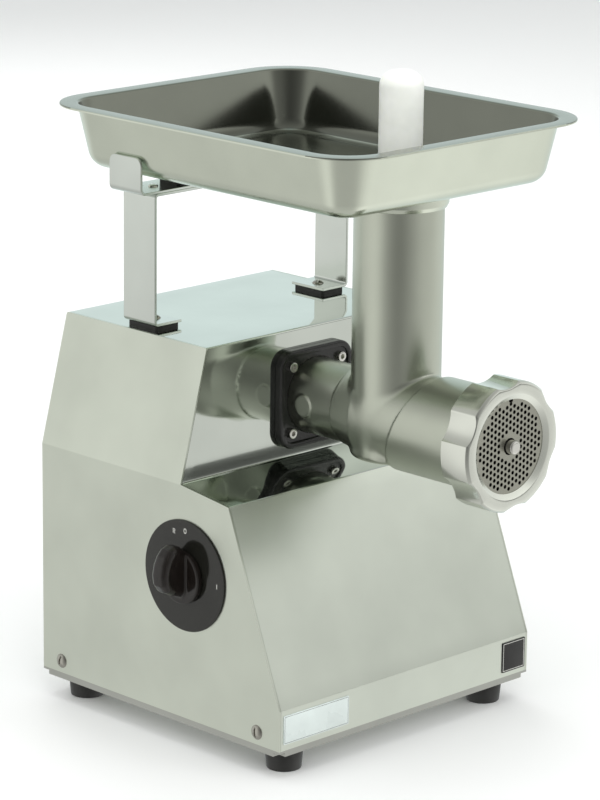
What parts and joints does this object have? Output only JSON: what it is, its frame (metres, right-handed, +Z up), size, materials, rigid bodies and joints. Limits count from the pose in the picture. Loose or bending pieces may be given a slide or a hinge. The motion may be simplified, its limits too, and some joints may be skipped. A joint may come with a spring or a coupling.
{
  "type": "meat grinder",
  "caption": "Bench meat grinder: folded steel housing with a rotary switch, cast head with a ring nut, and a strip-mounted loading tray over its vertical feed tube.",
  "frame": {"origin": "on the supporting surface, under the centre of the bounding box", "axes": "-Y is the delivery side with the ring nut, -X the side with the switch, +Z up"},
  "size_m": [0.312, 0.3526, 0.482],
  "materials": {
    "housing_steel": "satin folded sheet, polished on the front faces",
    "tray_steel": "satin deep-drawn stainless sheet",
    "strip_steel": "bent stainless strip",
    "pan_steel": "plain pressed sheet",
    "screw_steel": "zinc-plated or stainless screws",
    "tool_steel": "ground steel",
    "tinned_iron": "tinned or satin-polished casting",
    "bronze": "sintered bronze",
    "cast_aluminium": "die-cast, plain",
    "motor_paint": "dark enamel",
    "lamination_steel": "varnished laminations",
    "nylon": "natural nylon",
    "black_plastic": "moulded, satin",
    "dial_black": "printed foil",
    "black_rubber": "moulded rubber",
    "pale_label": "blank self-adhesive plate",
    "black_label": "blank self-adhesive plate",
    "white_plastic": "turned food-grade plastic"
  },
  "bodies": {
    "grinder": {"housing_wrap": "housing_steel", "side_panel_left": "housing_steel", "side_panel_right": "housing_steel", "side_screws": "screw_steel", "base_pan": "pan_steel", "rubber_feet": "black_rubber", "foot_screws": "screw_steel", "name_plate": "pale_label", "rating_plate": "black_label", "mounting_flange": "black_plastic", "flange_screws": "screw_steel", "flange_gasket": "black_rubber", "head_casting": "tinned_iron", "neck_pin": "screw_steel", "neck_bush": "bronze", "plate_key": "tool_steel", "output_bearings": "tool_steel", "layshaft_bushes": "bronze", "gearbox_cover": "cast_aluminium", "gearbox_case": "cast_aluminium", "gearbox_screws": "screw_steel", "motor_can": "motor_paint", "motor_stator": "lamination_steel", "motor_front_cap": "cast_aluminium", "motor_rear_cap": "cast_aluminium", "motor_bearings": "tool_steel", "motor_cradle": "pan_steel", "run_capacitor": "nylon", "terminal_block": "nylon", "cable_gland": "black_plastic", "gland_nut": "black_plastic", "dial_plate": "dial_black", "switch_body": "black_plastic", "bracket_left": "strip_steel", "bracket_right": "strip_steel", "bracket_pads": "black_rubber", "bracket_screws": "screw_steel", "tray_clip_left": "strip_steel", "tray_clip_right": "strip_steel", "clip_rivets": "screw_steel", "tray_buffers": "black_rubber"},
    "worm_drive": {"worm": "tinned_iron", "thrust_washer": "nylon", "worm_stud": "screw_steel", "knife": "tool_steel", "output_shaft": "tool_steel", "output_gear": "tool_steel"},
    "lay_train": {"layshaft": "tool_steel", "layshaft_gear": "tool_steel", "layshaft_pinion": "tool_steel"},
    "rotor": {"rotor_core": "lamination_steel", "rotor_shaft": "tool_steel", "motor_pinion": "tool_steel", "cooling_fan": "nylon"},
    "plate": {"perforated_plate": "tool_steel"},
    "nut": {"ring_nut": "tinned_iron"},
    "switch_knob": {"knob": "black_plastic", "knob_spindle": "screw_steel"},
    "pusher": {"pusher": "white_plastic"},
    "tray": {"tray": "tray_steel"}
  },
  "joints": [
    {"name": "knob_turn", "type": "hinge", "parent": "grinder", "child": "switch_knob", "pos_m": [-0.128, 0.0163, 0.128], "axis": [1, 0, 0], "range_deg": [-20, 90]},
    {"name": "worm_spin", "type": "hinge", "parent": "grinder", "child": "worm_drive", "pos_m": [0, -0.062, 0.2365], "axis": [0, 1, 0], "continuous": true},
    {"name": "layshaft_spin", "type": "hinge", "parent": "grinder", "child": "lay_train", "pos_m": [0, 0.05, 0.1815], "axis": [0, 1, 0], "continuous": true},
    {"name": "rotor_spin", "type": "hinge", "parent": "grinder", "child": "rotor", "pos_m": [0, 0.1, 0.126], "axis": [0, 1, 0], "continuous": true},
    {"name": "plate_slide", "type": "slide", "parent": "grinder", "child": "plate", "axis": [0, -1, 0], "range_m": [0, 0.018]},
    {"name": "nut_turn", "type": "hinge", "parent": "plate", "child": "nut", "pos_m": [0, -0.16, 0.2365], "axis": [0, -1, 0], "range_deg": [0, 2160]},
    {"name": "pusher_lift", "type": "slide", "parent": "grinder", "child": "pusher", "axis": [0, 0, 1], "range_m": [0, 0.25]},
    {"name": "tray_lift", "type": "slide", "parent": "grinder", "child": "tray", "axis": [0, 0, 1], "range_m": [0, 0.12]}
  ],
  "couplings": [
    {"joint": "layshaft_spin", "follows": "worm_spin", "ratio": -2.6667},
    {"joint": "rotor_spin", "follows": "worm_spin", "ratio": 9.6667},
    {"joint": "plate_slide", "follows": "nut_turn", "m_per_rad": 0.00047746}
  ]
}
